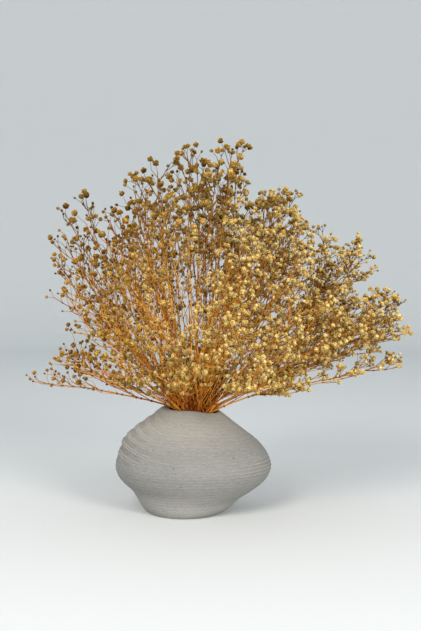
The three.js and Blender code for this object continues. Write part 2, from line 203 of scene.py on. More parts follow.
# ---- the finer growth ----
BASAL_SHOOTS = 16  # thin shoots that leave their stem under the mouth and cross above it
BASAL_START = (-0.2, 0)
BASAL_LENGTH = (36, 84)
BASAL_LEAN = (6, 66)
BASAL_LIFT = 0.02  # how strongly they are pulled upwards
BASAL_JOINTS = [0.45, 0.8]
FLOWERING_BASAL_SHOOTS = 0.45  # this share of them may flower, where they end well above the lip
BASAL_CYME = 10  # how far the pedicels at their ends reach
LIP_TOP = 133
BASAL_ROOM = (28, 19)  # half width and half depth of the room that they have at the lip's top
FULLER_TIPS = 60  # a leader that reaches further than this has more of the next two kinds
SLENDER_SHOOTS = (2, 3)  # long thin shoots that keep close to their leader and flower at their ends
SLENDER_SPAN = (0.06, 0.45)
SLENDER_LEAN = (6, 18)
SLENDER_LIFT = 0.06
SLENDER_LENGTH = (0.5, 0.85)  # as a share of what is left of their leader
SLENDER_BARE = 0.5  # the first share of their length, which carries no twigs
LOW_TWIGS = (6, 9)  # short twigs on the lower part of a leader, some of them bare
LOW_SPAN = (0.05, 0.5)
LOW_LEAN = (20, 42)
LOW_LENGTH = (12, 30)
LOW_LIFT = 0.1
LOW_CYME = 8
LOW_CLEAR = 146  # they stay well above the lip
FLOWERING_LOW_TWIGS = (0.6, 0.35)  # midway, and how much more of them flower on the fuller side
SPUR_LENGTH = (14, 30)  # flowering twigs between the side shoots
SPUR_STEP = (0.02, 0.05)  # how far past its side shoot one stands, as a share of the leader
LAST_SPUR = 0.98
SPUR_TURN = (-0.4, 0.4)
SPUR_LIFT = 0.06
SPUR_CYME = 11
SPUR_SHARE = (0.8, 0.35)  # how often there is one midway, and how much more often on the fuller side
SPUR_LOSS = 0.6  # high in the bunch the first of these falls by this share
LEADER_CYME = 9
TWIG_CYME = 7  # at least this, and more on a longer twig
TWIG_CYME_SHARE = 0.5
SHOOT_CYME = 8
SHOOT_CYME_SHARE = 0.2
WIDEST_CYME = 14
PEDICEL_TIP_RADIUS = 0.8 * PEDICEL_RADIUS
PEDICEL_LIFT = 0.05
PEDICEL_LEAN = (24, 44)
PEDICEL_LENGTH = (0.8, 1.3)  # as a share of their reach
MIDDLE_PEDICEL_LEAN = (-0.2, 0.2)  # in radians: the third goes nearly straight on
MIDDLE_PEDICEL_LENGTH = (0.6, 0.95)
BUD_SHARE = 0.2
EDGE_BUDS = 0.3  # more of the flowers are buds towards the narrow side
EDGE_SPAN = (70, 160)
BUD_SIZES = (2.2, 3.4)
BLOOM_SIZES = (3.7, 7.6)
BLOOM_SKEW = 1.5  # small flowers outnumber large ones
BROWNING = (0.65, 0.35)  # how browned a flower can be by chance, and how much more high up
BROWNING_SKEW = 1.5  # fresh flowers outnumber browned ones
BUD_BROWNING = 0.9
BRACT_BROWNING = 0.7
HEAD_SEAT = 0.38  # a flower's middle is this share of its width beyond its pedicel
HIGH_SPRAYS = (290, 410)  # high in the bunch the flowers are fewer, larger and more browned
HIGH_GROWTH = 0.3  # how much larger the highest are
SECOND_PEDICEL = (0.95, 0.7)  # how often a twig's end has a second flower, low and high
THIRD_PEDICEL = (0.5, 0.12)
FULL_SIDE = (20, 130)  # towards the fuller side the flowers are more crowded
NARROW_SIDE = (-10, 100)  # and towards the other side less
CROWDING_BY_SIDE = 0.6
FOURTH_BY_SIDE = 0.9  # how often a twig's end has a fourth flower there
SHRINKING_BY_SIDE = 0.14  # they are smaller there too
PEDICEL_TURNS = (0, math.pi, 1.6, 4.7)
JOINT_REACH = 1.8  # a joint swells over this length each way
JOINT_SWELL = 0.8
BRACT_LENGTHS = (3.0, 6.5)
BRACT_TURN = (0, 6)
BRACT_LEAN = (30, 65)
BRACT_HALF_THICKNESS = 0.05  # as a share of its length
BRACT_HALF_WIDTH = 0.16

# A double flower's petals, whorl by whorl from the lowest: how many, their angle above level, their
# reach and half width, as shares of the flower's width.
PETAL_WHORLS = [
    (5, -20, 0.46, 0.27),
    (5, 18, 0.50, 0.28),
    (3, 52, 0.52, 0.28),
]
PETAL_THICKNESS = 0.14
PETAL_ROOT = -0.05  # the petals spring from just under the middle
PETAL_TURN = (-0.3, 0.3)  # how far each strays from its even place, in radians
PETAL_TILT = (-14, 14)  # and from its whorl's angle, in degrees
PETAL_REACH = (0.85, 1.05)
PETAL_SPREAD = (0.85, 1.15)
PETAL_PALENESS = (0.5, 0.85)
HEART = 0.41  # the radius of the crumpled inner petals, as a share of the flower's width
HEART_CRUMPLE = (0.8, 1.2)
CALYX_RADIUS = 0.3
CALYX_DEPTH = 0.34
CALYX_MIDDLE = -0.28
BUD_HEIGHT = 1.3  # as a share of its width
BLOOM_VARIANTS = 6

Branch = namedtuple("Branch", "curve start radius tip_radius sides bends joints")
Head = namedtuple("Head", "place axis size open age")
Bract = namedtuple("Bract", "place axis length")
Shoot = namedtuple("Shoot", "t seed turn lean length lift")


# ---- seeded draws ----
MODULUS = 2147483647


class Draw:
    def __init__(self, seed):
        self.state = seed % (MODULUS - 1) + 1

    def next(self):
        self.state = self.state * 16807 % MODULUS
        return self.state / MODULUS

    def between(self, low, high):
        return low + (high - low) * self.next()


def child_seed(seed, index):
    """A new seed from an older one. Its index only keeps it apart from the others from that seed."""
    return (seed * 48271 + index * 9973 + 1) % MODULUS


# ---- directions and curves ----
def sideways(axis):
    reference = Vector((0, 1, 0)) if abs(axis.y) < 0.8 else Vector((1, 0, 0))
    return axis.cross(reference).normalized()


def leaning(axis, turn, lean):
    """A direction that leans out from an axis, turned round it."""
    out = Matrix.Rotation(turn, 3, axis) @ sideways(axis)
    return axis * math.cos(lean) + out * math.sin(lean)


class LeaderCurve:
    """Straight from its foot for t from -1 to 0, then arched over to its tip, swaying a little."""

    def __init__(self, foot, start, leave, tip, seed):
        chord = tip - start
        run = chord.length
        chord.normalize()
        leaving = (leave * LEAVING[0] + chord * LEAVING[1]).normalized()
        arriving = (chord + UP * (TIP_LIFT * chord.z - TIP_DROOP)).normalized()
        self.foot = foot
        self.length = run
        self.corners = (
            start,
            start + leaving * run * LEAVING_REACH,
            tip - arriving * run * ARRIVING_REACH,
            tip,
        )
        draw = Draw(child_seed(seed, 7))
        out = Matrix.Rotation(draw.between(0, 2 * math.pi), 3, leave) @ sideways(leave)
        self.sway = out * draw.between(*SWAY)

    def at(self, t):
        if t <= 0:
            return self.corners[0].lerp(self.foot, -t)
        s = 1 - t
        point = self.sway * (math.sin(2 * math.pi * t) * t)
        for share, corner in zip((s * s * s, 3 * t * s * s, 3 * t * t * s, t * t * t), self.corners):
            point = point + corner * share
        return point

    def tangent(self, t):
        return (self.at(t + 0.01) - self.at(t - 0.01)).normalized()


class ShootCurve:
    """Straight out, then bent by a steady pull; it never hangs below what it grows from."""

    def __init__(self, base, direction, length, pull):
        self.base = base
        self.direction = Vector((direction.x, direction.y, abs(direction.z)))
        self.length = length
        self.pull = pull

    def at(self, t):
        return self.base + self.direction * (self.length * t) + self.pull * (self.length * t * t)

    def tangent(self, t):
        return (self.direction + self.pull * (2 * t)).normalized()


# ---- growth of one stem ----
def eased(low, high, value):
    share = max(0, min(1, (value - low) / (high - low)))
    return share * share * (3 - 2 * share)


def fullness(place):
    """From -1 on the narrow side of the bunch to 1 on its fuller side."""
    return eased(*FULL_SIDE, place.x) - eased(*NARROW_SIDE, -place.x)


class Stem:
    def __init__(self, row_depth, place, row_count, tips, spread, seed):
        self.branches = []
        self.heads = []
        self.bracts = []
        self.spread = spread
        self.seed = seed
        bearing = 2 * place / (row_count - 1) - 1
        out = MOUTH_HALF_WIDTH * math.sqrt(1 - (row_depth / MOUTH_HALF_DEPTH) ** 2) * bearing
        mouth = MOUTH + Vector((out, row_depth, -out * RIM_SLOPE))
        turned = Matrix.Rotation(SPIRAL, 3, "Z") @ Vector((out, row_depth * FOOT_DEPTH, 0))
        foot = FOOT_MIDDLE + turned * FOOT_SPREAD
        rise = (mouth - foot).normalized()
        main = LeaderCurve(foot, mouth, rise, Vector(tips[0]), seed)
        start = main.at(FORK_AT)
        leave = main.tangent(FORK_AT)
        fork = LeaderCurve(start - leave, start, leave, Vector(tips[1]), seed + 1)
        self.grow_leader(main, 1, -1, STEM_RADIUS, [FORK_AT])
        self.grow_leader(fork, 2, 0, FORK_RADIUS, [])
        self.grow_basal_shoots(main, rise, child_seed(seed, 500))

    def grow_leader(self, curve, number, start, radius, forks):
        seed = child_seed(self.seed, number)
        turn = Draw(seed).between(0, 2 * math.pi)
        shoots = [self.draw_shoot(seed, k, turn) for k in range(SHOOTS)]
        low_twigs = self.grow_low_twigs(curve, child_seed(seed, 200))
        slender = self.grow_slender_shoots(curve, child_seed(seed, 600))
        joints = forks + [shoot.t for shoot in shoots] + low_twigs + slender
        self.grow_branch(curve, radius, LEADER_TIP_RADIUS, sides=7, bends=26, joints=joints, start=start)
        for shoot in shoots:
            axis = curve.tangent(shoot.t)
            direction = leaning(axis, shoot.turn, shoot.lean)
            pull = UP * shoot.lift + axis * SHOOT_FORWARD
            grown = ShootCurve(curve.at(shoot.t), direction, shoot.length, pull)
            self.grow_twigs(grown, shoot.seed)
            self.grow_bracts(curve, shoot.t, shoot.turn, child_seed(shoot.seed, 300))
            self.grow_spur(curve, shoot, child_seed(shoot.seed, 400))
        self.grow_cyme(curve.at(1), curve.tangent(1), LEADER_CYME, child_seed(seed, 99))

    def grow_branch(self, curve, radius, tip_radius, sides, bends, joints=(), start=0):
        self.branches.append(Branch(curve, start, radius, tip_radius, sides, bends, joints))

    def grow_basal_shoots(self, curve, rise, seed):
        draw = Draw(seed)
        for k in range(BASAL_SHOOTS):
            lean = math.radians(draw.between(*BASAL_LEAN))
            direction = leaning(rise, draw.between(0, 2 * math.pi), lean)
            base = curve.at(draw.between(*BASAL_START))
            shoot = ShootCurve(base, direction, draw.between(*BASAL_LENGTH), UP * BASAL_LIFT)
            passing = base + shoot.direction * ((LIP_TOP - base.z) / shoot.direction.z) - MOUTH
            if (passing.x / BASAL_ROOM[0]) ** 2 + (passing.y / BASAL_ROOM[1]) ** 2 > 1:
                continue
            self.grow_branch(shoot, SHOOT_RADIUS, TWIG_RADIUS, sides=5, bends=5, joints=BASAL_JOINTS)
            if draw.next() < FLOWERING_BASAL_SHOOTS and shoot.at(1).z > LOW_CLEAR:
                self.grow_cyme(shoot.at(1), shoot.tangent(1), BASAL_CYME, child_seed(seed, k))

    def grow_slender_shoots(self, curve, seed):
        draw = Draw(seed)
        joints = []
        count = SLENDER_SHOOTS[curve.at(1).x > FULLER_TIPS]
        for k in range(count):
            share = (k + draw.next()) / count
            t = SLENDER_SPAN[0] + (SLENDER_SPAN[1] - SLENDER_SPAN[0]) * share
            lean = math.radians(draw.between(*SLENDER_LEAN))
            direction = leaning(curve.tangent(t), draw.between(0, 2 * math.pi), lean)
            length = curve.length * (1 - t) * draw.between(*SLENDER_LENGTH)
            shoot = ShootCurve(curve.at(t), direction, length, UP * SLENDER_LIFT)
            self.grow_twigs(shoot, child_seed(seed, k), SLENDER_BARE)
            joints.append(t)
        return joints

    def draw_shoot(self, leader_seed, k, turn):
        seed = child_seed(leader_seed, k + 1)
        draw = Draw(seed)
        share = (k + draw.between(*SHOOT_PLACE)) / SHOOTS
        return Shoot(
            t=SHOOT_SPAN[0] + (SHOOT_SPAN[1] - SHOOT_SPAN[0]) * share ** CROWDING,
            seed=seed,
            turn=turn + (k + 1) * GOLDEN_TURN + draw.between(*SHOOT_TURN),
            lean=math.radians(draw.between(*SHOOT_LEAN) - SHOOT_LEAN_LOSS * share),
            length=self.spread * (1 - TAPER * share) * draw.between(*SHOOT_LENGTH),
            lift=draw.between(*SHOOT_LIFT),
        )

    def grow_twigs(self, shoot, seed, bare=0):
        """Twigs along a shoot past its bare share, with flowers at their ends and its own."""
        draw = Draw(child_seed(seed, 50))
        flowering = shoot.length * (1 - bare)
        fewest, most = TWIGS
        count = max(fewest, min(most, round(flowering / TWIG_SPACING)))
        turn = draw.between(0, math.pi)
        joints = []
        for j in range(count):
            t = bare + (1 - bare) * ((j + 1) / (count + TWIG_ROOM) + draw.between(*TWIG_PLACE))
            turn += math.pi / 2 + (math.pi if j % 2 else 0) + draw.between(*TWIG_TURN)
            lean = math.radians(draw.between(*TWIG_LEAN))
            length = flowering * draw.between(*TWIG_LENGTH) * (1 - TWIG_TAPER * t)
            length = max(SHORTEST_TWIG, length)
            pull = UP * draw.between(*TWIG_LIFT)
            twig = ShootCurve(shoot.at(t), leaning(shoot.tangent(t), turn, lean), length, pull)
            joints.append(t)
            self.grow_branch(twig, TWIG_RADIUS, PEDICEL_RADIUS, sides=4, bends=3)
            reach = max(TWIG_CYME, length * TWIG_CYME_SHARE)
            self.grow_cyme(twig.at(1), twig.tangent(1), reach, child_seed(seed, 60 + j))
        self.grow_branch(shoot, SHOOT_RADIUS, TWIG_RADIUS, sides=5, bends=5, joints=joints)
        reach = max(SHOOT_CYME, shoot.length * SHOOT_CYME_SHARE)
        self.grow_cyme(shoot.at(1), shoot.tangent(1), reach, child_seed(seed, 70))

    def grow_spur(self, curve, shoot, seed):
        """A short flowering twig on the other side of the leader from a side shoot."""
        draw = Draw(seed)
        t = min(LAST_SPUR, shoot.t + draw.between(*SPUR_STEP))
        axis = curve.tangent(t)
        direction = leaning(axis, shoot.turn + math.pi + draw.between(*SPUR_TURN), shoot.lean)
        spur = ShootCurve(curve.at(t), direction, draw.between(*SPUR_LENGTH), UP * SPUR_LIFT)
        share, by_side = SPUR_SHARE
        share *= 1 - SPUR_LOSS * eased(*HIGH_SPRAYS, spur.base.z)
        if draw.next() < share + by_side * fullness(spur.base):
            self.grow_branch(spur, TWIG_RADIUS, PEDICEL_RADIUS, sides=4, bends=3)
            self.grow_cyme(spur.at(1), spur.tangent(1), SPUR_CYME, child_seed(seed, 1))

    def grow_low_twigs(self, curve, seed):
        draw = Draw(seed)
        joints = []
        count = LOW_TWIGS[curve.at(1).x > FULLER_TIPS]
        for k in range(count):
            t = LOW_SPAN[0] + (LOW_SPAN[1] - LOW_SPAN[0]) * (k + draw.next()) / count
            turn = draw.between(0, 2 * math.pi)
            direction = leaning(curve.tangent(t), turn, math.radians(draw.between(*LOW_LEAN)))
            length = draw.between(*LOW_LENGTH)
            share, by_side = FLOWERING_LOW_TWIGS
            flowers = draw.next() < share + by_side * fullness(curve.at(t))
            if curve.at(t).z < LOW_CLEAR:
                continue
            twig = ShootCurve(curve.at(t), direction, length, UP * LOW_LIFT)
            joints.append(t)
            self.grow_branch(twig, TWIG_RADIUS, PEDICEL_RADIUS, sides=4, bends=4)
            if flowers:
                self.grow_cyme(twig.at(1), twig.tangent(1), LOW_CYME, child_seed(seed, 20 + k))
            self.grow_bracts(curve, t, draw.between(*BRACT_TURN), child_seed(seed, 40 + k))
        return joints

    def grow_cyme(self, place, axis, reach, seed):
        """A twig's end: up to four pedicels, each with a flower or a bud."""
        draw = Draw(seed)
        reach = min(reach, WIDEST_CYME)
        turn = draw.between(0, 2 * math.pi)
        high = eased(*HIGH_SPRAYS, place.z)
        full = fullness(place)
        crowding = CROWDING_BY_SIDE * full
        second, third = (low + (top - low) * high for low, top in (SECOND_PEDICEL, THIRD_PEDICEL))
        chances = (second + crowding, third + crowding, FOURTH_BY_SIDE * full)
        count = 1 + sum(draw.next() < chance for chance in chances)
        for j in range(count):
            if j == 2:
                lean = draw.between(*MIDDLE_PEDICEL_LEAN)
                length = reach * draw.between(*MIDDLE_PEDICEL_LENGTH)
            else:
                lean = math.radians(draw.between(*PEDICEL_LEAN))
                length = reach * draw.between(*PEDICEL_LENGTH)
            direction = leaning(axis, turn + PEDICEL_TURNS[j], lean)
            pedicel = ShootCurve(place, direction, length, UP * PEDICEL_LIFT)
            self.grow_branch(pedicel, PEDICEL_RADIUS, PEDICEL_TIP_RADIUS, sides=3, bends=2)
            opened = draw.next() > BUD_SHARE + EDGE_BUDS * eased(*EDGE_SPAN, -place.x)
            smallest, largest = BLOOM_SIZES if opened else BUD_SIZES
            size = smallest + (largest - smallest) * draw.next() ** BLOOM_SKEW
            size *= 1 + HIGH_GROWTH * high - SHRINKING_BY_SIDE * max(0, full)
            age = BROWNING[0] * draw.next() ** BROWNING_SKEW + BROWNING[1] * high
            self.heads.append(Head(pedicel.at(1), pedicel.tangent(1), size, opened, age))

    def grow_bracts(self, curve, t, turn, seed):
        """A pair of small dried leaves at a joint."""
        draw = Draw(seed)
        for side in (0, math.pi):
            lean = math.radians(draw.between(*BRACT_LEAN))
            direction = leaning(curve.tangent(t), turn + side, lean)
            self.bracts.append(Bract(curve.at(t), direction, draw.between(*BRACT_LENGTHS)))


# ---- meshes of the stems ----
tube_meshes = {}


def tube_mesh(rings, sides):
    """A closed tube of unit radius whose rings stand at heights 0, 1, 2 and so on."""
    if (rings, sides) not in tube_meshes:
        bm = bmesh.new()
        bmesh.ops.create_cone(
            bm, cap_ends=True, segments=sides, radius1=1, radius2=1, depth=rings - 1,
            matrix=Matrix.Translation((0, 0, (rings - 1) / 2)),
        )
        walls = [edge for edge in bm.edges if abs(edge.verts[0].co.z - edge.verts[1].co.z) > 0.5]
        if rings > 2:
            bmesh.ops.subdivide_edges(bm, edges=walls, cuts=rings - 2, use_grid_fill=True)
        bmesh.ops.recalc_face_normals(bm, faces=bm.faces)
        mesh = bpy.data.meshes.new("tube")
        bm.to_mesh(mesh)
        bm.free()
        tube_meshes[rings, sides] = mesh
    return tube_meshes[rings, sides]


def petal_matrix(turn, rise, reach, half_width):
    return (
        Matrix.Translation((0, 0, PETAL_ROOT))
        @ Matrix.Rotation(turn, 4, "Z")
        @ Matrix.Rotation(math.pi / 2 - rise, 4, "Y")
        @ Matrix.Translation((0, 0, reach / 2))
        @ Matrix.Diagonal((PETAL_THICKNESS, half_width, 1, 1))
        @ Matrix.Rotation(math.pi / 2, 4, "Z")
    )


def bloom_mesh(seed):
    """A ruffled double flower one unit across: a crumpled heart among whorls of fan-shaped petals, over
    a small calyx. Its "edge" is 0 at the calyx and 1 at the palest petal edges; its low values are
    partly the petals' own darker roots and partly painted shade in the gaps between them and under the
    flower."""
    draw = Draw(child_seed(seed, 1))
    bm = bmesh.new()
    edge_layer = bm.verts.layers.float.new("edge")
    heart = bmesh.ops.create_cone(
        bm, cap_ends=True, segments=5, radius1=HEART, radius2=0.6 * HEART, depth=1.5 * HEART,
    )["verts"]
    # The heart is darker on its lower side: painted shade under the outer petals.
    for vertex in heart:
        vertex.co *= draw.between(*HEART_CRUMPLE)
        vertex[edge_layer] = 0.5 + vertex.co.z
    for count, rise, reach, half_width in PETAL_WHORLS:
        first = draw.between(0, 2 * math.pi)
        for k in range(count):
            turn = first + 2 * math.pi * k / count + draw.between(*PETAL_TURN)
            tilt = math.radians(rise + draw.between(*PETAL_TILT))
            grown = reach * draw.between(*PETAL_REACH)
            petal = bmesh.ops.create_cone(
                bm, cap_ends=True, segments=3, radius1=0, radius2=1, depth=grown,
                matrix=petal_matrix(turn, tilt, grown, half_width * draw.between(*PETAL_SPREAD)),
            )["verts"]
            # Each petal pales from its root to its edge and is darker on its lower side: partly the
            # petals' own darker roots, partly painted shade in the gaps between them and under the
            # flower.
            pale = draw.between(*PETAL_PALENESS)
            for vertex in petal:
                outward = min(1, 2.2 * vertex.co.length)
                vertex[edge_layer] = outward * (pale + 0.5 * vertex.co.z)
    bmesh.ops.create_cone(
        bm, cap_ends=True, segments=3, radius1=0, radius2=CALYX_RADIUS, depth=CALYX_DEPTH,
        matrix=Matrix.Translation((0, 0, CALYX_MIDDLE)),
    )
    return template("bloom", bm)


def bud_mesh():
    """A closed bud one unit across, taller than it is wide."""
    bm = bmesh.new()
    edge_layer = bm.verts.layers.float.new("edge")
    for vertex in bmesh.ops.create_icosphere(bm, subdivisions=1, radius=0.5)["verts"]:
        vertex.co.z *= BUD_HEIGHT
        vertex[edge_layer] = 0.25 + 0.5 * vertex.co.z
    return template("bud", bm)


def bract_mesh():
    """A small pointed leaf of unit length, growing along +Z."""
    bm = bmesh.new()
    edge_layer = bm.verts.layers.float.new("edge")
    bmesh.ops.create_cone(
        bm, cap_ends=True, segments=3, radius1=1, radius2=0, depth=1,
        matrix=Matrix.Translation((0, 0, 0.5))
        @ Matrix.Diagonal((BRACT_HALF_THICKNESS, BRACT_HALF_WIDTH, 1, 1))
        @ Matrix.Rotation(math.pi / 2, 4, "Z"),
    )
    for vertex in bm.verts:
        vertex[edge_layer] = 0.4
    return template("bract", bm)


def template(name, bm):
    bmesh.ops.recalc_face_normals(bm, faces=bm.faces)
    mesh = bpy.data.meshes.new(name)
    bm.to_mesh(mesh)
    bm.free()
    return mesh


def new_vertices(bm, mesh):
    first = len(bm.verts)
    bm.from_mesh(mesh)
    bm.verts.ensure_lookup_table()
    return bm.verts[first:]


def branch_steps(branch):
    """Where a branch has its rings: evenly spaced, and three at each swollen joint."""
    steps = [i / branch.bends for i in range(branch.bends + 1)]
    if branch.start < 0:
        steps = [-1, -0.5] + steps
    gap = JOINT_REACH / branch.curve.length
    for joint in branch.joints:
        steps = [t for t in steps if abs(t - joint) > gap * 1.5 or t in (0, 1)]
        steps += [joint - gap, joint, joint + gap]
    return sorted(t for t in set(steps) if branch.start <= t <= 1)


def joint_share(branch, t):
    gap = JOINT_REACH / branch.curve.length
    return max([max(0, 1 - abs(t - joint) / gap) for joint in branch.joints], default=0)


def add_branch(bm, joint_layer, tone_layer, branch, tone):
    curve = branch.curve
    steps = branch_steps(branch)
    side = sideways(curve.tangent(0.5))
    hoops = []
    for t in steps:
        axis = curve.tangent(t)
        other = axis.cross(side).normalized()
        across = other.cross(axis)
        joint = joint_share(branch, t)
        radius = branch.radius + (branch.tip_radius - branch.radius) * max(0, t)
        radius *= 1 + JOINT_SWELL * joint
        hoops.append((curve.at(t), across * radius, other * radius, joint))
    for vertex in new_vertices(bm, tube_mesh(len(steps), branch.sides)):
        place, across, other, joint = hoops[round(vertex.co.z)]
        vertex[joint_layer] = joint
        vertex[tone_layer] = tone
        vertex.co = (place + across * vertex.co.x + other * vertex.co.y) * MM


def upright_matrix(place, axis, size, turn):
    """Stands a unit shape at a place, along an axis."""
    return (
        Matrix.Translation(place * MM)
        @ axis.to_track_quat("Z", "Y").to_matrix().to_4x4()
        @ Matrix.Rotation(turn, 4, "Z")
        @ Matrix.Scale(size * MM, 4)
    )


def finish_mesh(name, bm, material, smooth):
    mesh = bpy.data.meshes.new(name)
    for face in bm.faces:
        face.smooth = smooth
    bm.to_mesh(mesh)
    bm.free()
    mesh.materials.append(material)
    piece = bpy.data.objects.new(name, mesh)
    bpy.context.collection.objects.link(piece)
    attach(piece, "root")
    return piece


def make_twigs(name, stem, material):
    bm = bmesh.new()
    joint_layer = bm.verts.layers.float.new("joint")
    tone_layer = bm.verts.layers.float.new("tone")
    draw = Draw(child_seed(stem.seed, 900))
    for branch in stem.branches:
        add_branch(bm, joint_layer, tone_layer, branch, draw.next())
    return finish_mesh(name, bm, material, smooth=True)


def make_blooms(name, stem, blooms, bud, bract, material):
    bm = bmesh.new()
    bm.verts.layers.float.new("edge")
    age_layer = bm.verts.layers.float.new("age")
    for i, head in enumerate(stem.heads):
        shape = blooms[(stem.seed + i) % len(blooms)] if head.open else bud
        centre = head.place + head.axis * (head.size * HEAD_SEAT)
        matrix = upright_matrix(centre, head.axis, head.size, head.age * 6)
        for vertex in new_vertices(bm, shape):
            vertex[age_layer] = head.age if head.open else BUD_BROWNING
            vertex.co = matrix @ vertex.co
    for leaf in stem.bracts:
        matrix = upright_matrix(leaf.place, leaf.axis, leaf.length, leaf.length)
        for vertex in new_vertices(bm, bract):
            vertex[age_layer] = BRACT_BROWNING
            vertex.co = matrix @ vertex.co
    return finish_mesh(name, bm, material, smooth=False)


# ---- vase ----
def smooth_levels(levels, steps):
    """Fills in between the levels of an outline with a curve through all of them."""
    filled = []
    for i in range(len(levels) - 1):
        before, a, b, after = (levels[max(0, min(len(levels) - 1, j))] for j in range(i - 1, i + 3))
        for k in range(steps):
            t = k / steps
            filled.append(tuple(
                0.5 * (2 * q + (r - p) * t + (2 * p - 5 * q + 4 * r - s) * t * t
                       + (3 * q - p - 3 * r + s) * t ** 3)
                for p, q, r, s in zip(before, a, b, after)
            ))
    filled.append(tuple(float(value) for value in levels[-1]))
    return filled


def inset_level(level, inset):
    height, left, right, half_depth = level
    return (height, left + inset, right - inset, half_depth - inset)


def lip_levels():
    """The lip rolls over from the top of the outline to the opening."""
    outer = VASE_OUTLINE[-1]
    levels = []
    for k in range(1, LIP_STEPS):
        t = k / LIP_STEPS
        crown = LIP_CROWN * math.sin(math.pi * t)
        level = [a + (b - a) * t for a, b in zip(outer, OPENING)]
        levels.append((level[0] + crown, *level[1:]))
    return levels


def combed_height(height, bearing):
    """The height at which the comb met the clay, before the narrow end was squeezed and rose."""
    squeezed = max(0, -math.cos(bearing))
    return height - SHELL_CLIMB * squeezed ** 2 * eased(*SHELL_CLIMB_HEIGHTS, height)


def faded(low, full, fading, gone, height):
    """1 from full to fading, eased down to 0 at low and at gone."""
    return eased(low, full, height) * (1 - eased(fading, gone, height))


def ridge(height, bearing):
    """How far the potter's ridges stand out, by height and by bearing round the vase."""
    squeezed = max(0, -math.cos(bearing))
    turn = 2 * math.pi * combed_height(height, bearing) / SHELL_PITCH
    broad = (1 - SHELL_FINE) * math.sin(turn) * squeezed ** 3
    fine = SHELL_FINE * math.sin(3 * turn) * squeezed
    shell = 0.5 * (broad + fine) * faded(*SHELL_HEIGHTS, height)
    throw = math.sin(2 * math.pi * height / THROW_PITCH + THROW_DRIFT * math.sin(bearing))
    throw *= faded(*THROW_HEIGHTS, height)
    pinch = math.sin(2 * math.pi * height / PINCH_PITCH) * max(0, math.cos(bearing)) ** 3
    pinch *= 0.5 * faded(*PINCH_HEIGHTS, height)
    return SHELL_DEPTH * shell + THROW_DEPTH * throw + PINCH_DEPTH * pinch


def make_vase(material):
    """The vase is turned as a unit tube, one ring to a level, up the outside and down the inside, and
    each ring is then drawn out to its own oval."""
    outside = smooth_levels(VASE_OUTLINE, LEVELS_PER_STEP)
    inside = [OPENING] + [inset_level(VASE_OUTLINE[i], WALL) for i in reversed(INSIDE_LEVELS)]
    inside = smooth_levels(inside, LEVELS_PER_STEP // 2)
    floor = inset_level(VASE_OUTLINE[INSIDE_LEVELS[0]], WALL + FLOOR_CORNER)
    floor = (FLOOR_THICKNESS, *floor[1:])
    under = inset_level(VASE_OUTLINE[0], FOOT_ROUNDING)
    lifted = [(max(level[0], FOOT_LIFT), *level[1:]) for level in outside]
    rings = [under, *lifted, *lip_levels(), *inside, floor]
    outer_count = 1 + len(lifted)

    bm = bmesh.new()
    crest_layer = bm.verts.layers.float.new("crest")
    comb_layer = bm.verts.layers.float.new("comb")
    bmesh.ops.create_cone(
        bm, cap_ends=True, segments=VASE_SIDES, radius1=1, radius2=1, depth=len(rings) - 1,
        matrix=Matrix.Translation((0, 0, (len(rings) - 1) / 2)),
    )
    walls = [edge for edge in bm.edges if abs(edge.verts[0].co.z - edge.verts[1].co.z) > 0.5]
    bmesh.ops.subdivide_edges(bm, edges=walls, cuts=len(rings) - 2, use_grid_fill=True)
    for vertex in bm.verts:
        level = round(vertex.co.z)
        height, left, right, half_depth = rings[level]
        bearing = math.atan2(vertex.co.y, vertex.co.x)
        out = ridge(height, bearing) if 0 < level < outer_count else 0
        # The crest, 0.5 on the plain wall, lets the stoneware paint shade into the grooves and light
        # onto the crests.
        vertex[crest_layer] = 0.5 + out / SHELL_DEPTH
        vertex[comb_layer] = combed_height(height, bearing) * MM
        x = (left + right) / 2 + ((right - left) / 2 + out) * vertex.co.x
        y = (half_depth + out) * vertex.co.y
        near_rim = max(0, height / RIM_HEIGHT - RIM_SHARE) / (1 - RIM_SHARE)
        wave = RIM_WAVE * math.sin(RIM_WAVES * math.atan2(y, x - MOUTH.x))
        z = height + near_rim * (wave - RIM_SLOPE * (x - MOUTH.x))
        vertex.co = Vector((x, y, z)) * MM
    bmesh.ops.recalc_face_normals(bm, faces=bm.faces)
    return finish_mesh("thrown_vase", bm, material, smooth=True)


# ---- materials ----
def srgb(code):
    """A colour written as sRGB hex, as the linear RGBA that a shader takes."""
    values = [int(code[i:i + 2], 16) / 255 for i in (1, 3, 5)]
    linear = [v / 12.92 if v <= 0.04045 else ((v + 0.055) / 1.055) ** 2.4 for v in values]
    return (*linear, 1)


def add(tree, kind, sockets=None, **settings):
    """Adds a node. A socket is given a value, or another node's output to link it to."""
    node = tree.nodes.new("ShaderNode" + kind)
    for name, value in settings.items():
        setattr(node, name, value)
    for key, value in (sockets or {}).items():
        if isinstance(value, bpy.types.NodeSocket):
            tree.links.new(value, node.inputs[key])
        else:
            node.inputs[key].default_value = value
    return node


def new_material(name):
    material = bpy.data.materials.new(name)
    material.use_nodes = True
    tree = material.node_tree
    return material, tree, tree.nodes["Principled BSDF"]


